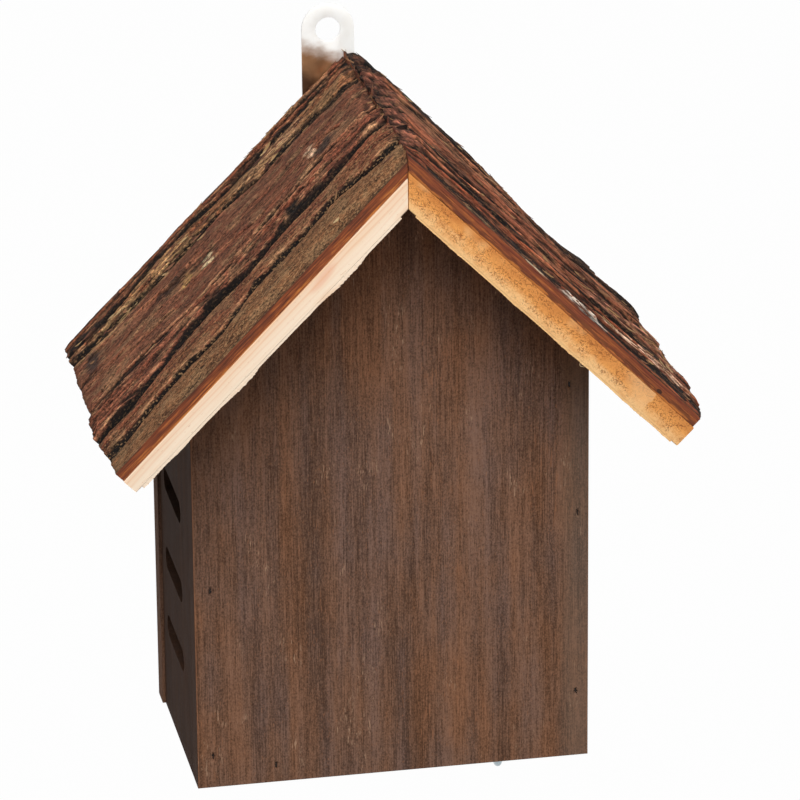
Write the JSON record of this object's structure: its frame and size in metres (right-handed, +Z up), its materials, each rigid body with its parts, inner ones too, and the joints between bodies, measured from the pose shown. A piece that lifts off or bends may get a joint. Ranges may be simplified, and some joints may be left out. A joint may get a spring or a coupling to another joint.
{
  "type": "insect hotel",
  "caption": "Hanging insect house of stained boards with slots in its side walls, a gable roof of bark-covered slabs, a hinged floor flap locked by a wire hook, and a metal hanger strap",
  "frame": {"origin": "Middle of the lower edge of the back panel: x = 0 is the plane under the ridge, y = 0 the middle of the back panel's thickness, z = 0 the level of the boards' lower edges", "axes": "+Z up, +X to the right seen from the front, +Y to the rear, towards the wall that the house hangs on; the front looks along -Y"},
  "size_m": [0.2238, 0.1316, 0.2812],
  "materials": {
    "stained_wood": "brown stain, matt",
    "flap_wood": "brown stain, matt",
    "pale_wood": "sawn, bare",
    "orange_wood": "sawn, bare",
    "bark": "rough bark",
    "galvanised_strap": "galvanised",
    "zinc_wire": "zinc plated",
    "zinc_screw": "zinc plated",
    "brad_steel": "dark steel"
  },
  "bodies": {
    "house": {"front_panel": "stained_wood", "back_panel": "stained_wood", "left_wall": "stained_wood", "right_wall": "stained_wood", "roof_board_left": "pale_wood", "roof_board_right": "orange_wood", "roof_bark_left": "bark", "roof_bark_right": "bark", "hanger_strap": "galvanised_strap", "strap_screw_1": "zinc_screw", "strap_screw_2": "zinc_screw", "front_brad_left_1": "brad_steel", "front_brad_left_2": "brad_steel", "front_brad_left_3": "brad_steel", "front_brad_right_1": "brad_steel", "front_brad_right_2": "brad_steel", "front_brad_right_3": "brad_steel", "back_brad_left_1": "brad_steel", "back_brad_left_2": "brad_steel", "back_brad_left_3": "brad_steel", "back_brad_right_1": "brad_steel", "back_brad_right_2": "brad_steel", "back_brad_right_3": "brad_steel", "pivot_pin_front": "brad_steel", "pivot_pin_back": "brad_steel", "roof_brad_left_1": "brad_steel", "roof_brad_left_2": "brad_steel", "roof_brad_left_3": "brad_steel", "roof_brad_left_4": "brad_steel", "roof_brad_right_1": "brad_steel", "roof_brad_right_2": "brad_steel", "roof_brad_right_3": "brad_steel", "roof_brad_right_4": "brad_steel"},
    "flap": {"floor_flap": "flap_wood"},
    "hook": {"floor_hook": "zinc_wire"}
  },
  "joints": [
    {"name": "flap_hinge", "type": "hinge", "parent": "house", "child": "flap", "pos_m": [-0.0449, -0.04, 0.0065], "axis": [0, 1, 0], "range_deg": [0, 90]},
    {"name": "hook_swivel", "type": "hinge", "parent": "house", "child": "hook", "pos_m": [0.0412, -0.081, 0], "axis": [0, 0, 1], "range_deg": [-90, 90]}
  ]
}
